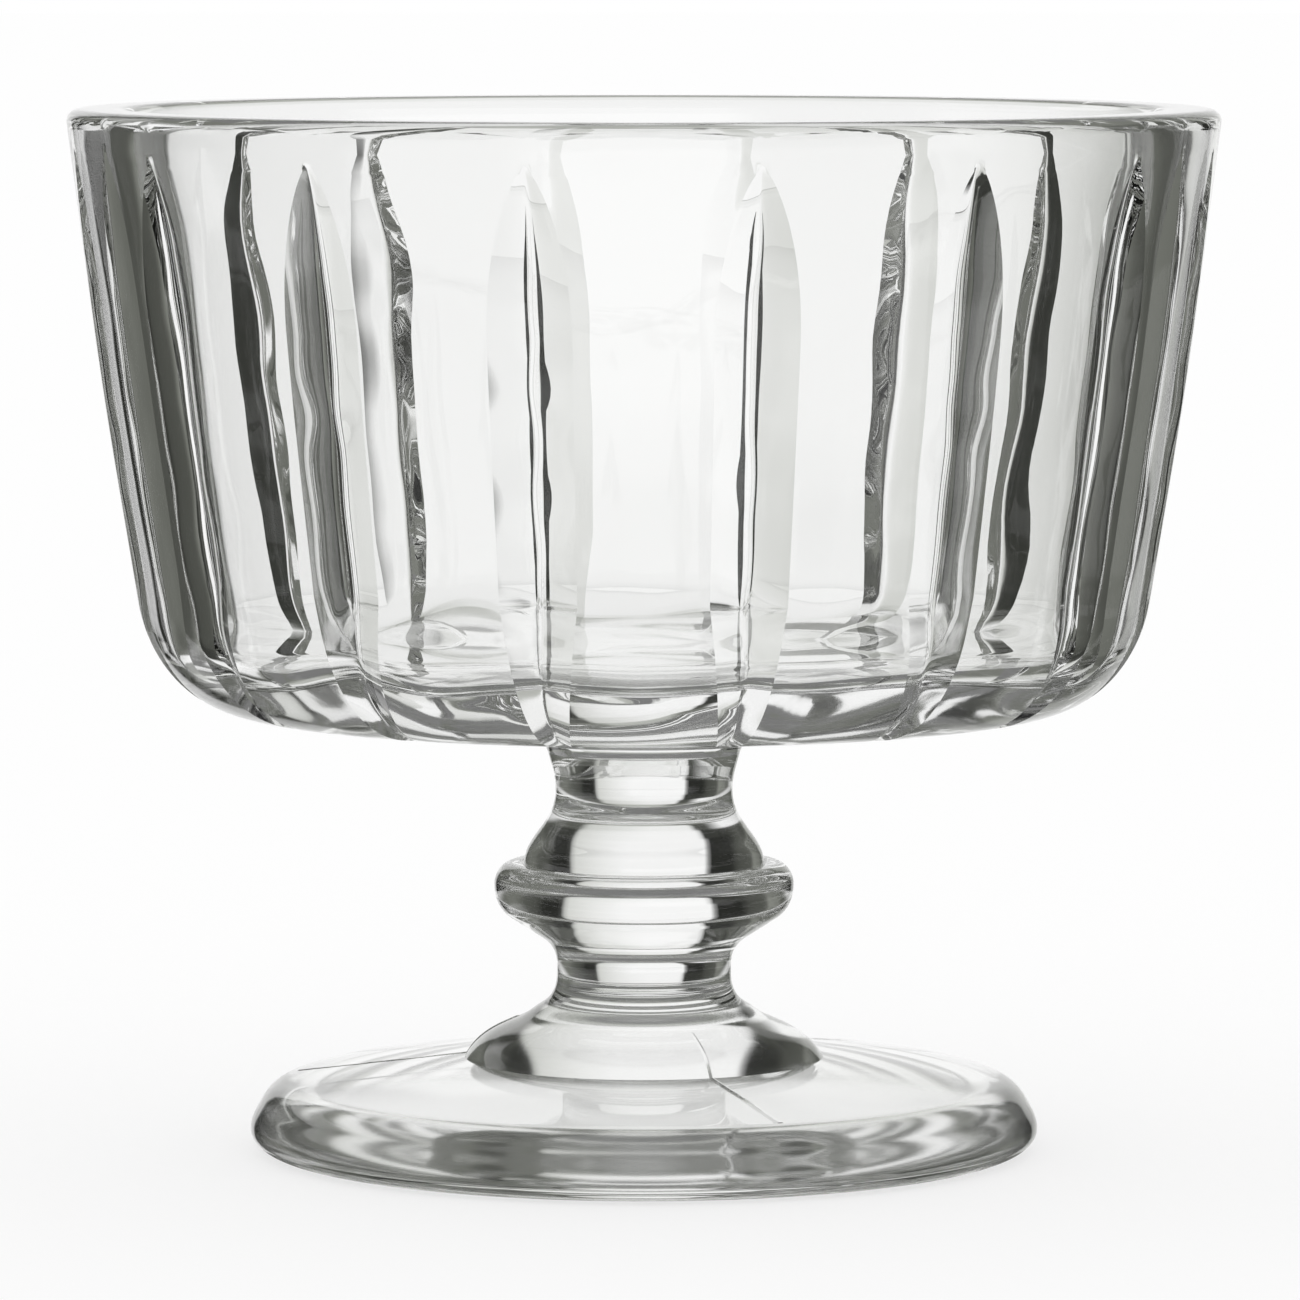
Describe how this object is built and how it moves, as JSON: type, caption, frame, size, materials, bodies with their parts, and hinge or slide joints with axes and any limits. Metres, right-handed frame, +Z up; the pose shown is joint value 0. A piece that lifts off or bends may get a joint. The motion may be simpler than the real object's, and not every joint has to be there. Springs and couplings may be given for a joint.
{
  "type": "dessert glass",
  "caption": "Footed dessert glass in clear pressed glass: a tapered bowl with upright flutes, a short baluster stem with a ring, and a round foot with a domed collar.",
  "frame": {"origin": "centre of the foot's underside, in the plane of the ring it stands on", "axes": "+Z up along the glass's own axis; -Y towards the viewer, through the middle of a plain panel between two flutes"},
  "size_m": [0.115, 0.115, 0.1045],
  "materials": {
    "bowl_glass": "clear pressed glass, fire-polished, wall about 6.5 mm",
    "stem_glass": "clear pressed glass, solid, with faint waves",
    "foot_glass": "clear pressed glass, solid, faintly grey-green through its edge"
  },
  "bodies": {
    "root": {"bowl": "bowl_glass", "stem": "stem_glass", "foot": "foot_glass"}
  },
  "joints": []
}
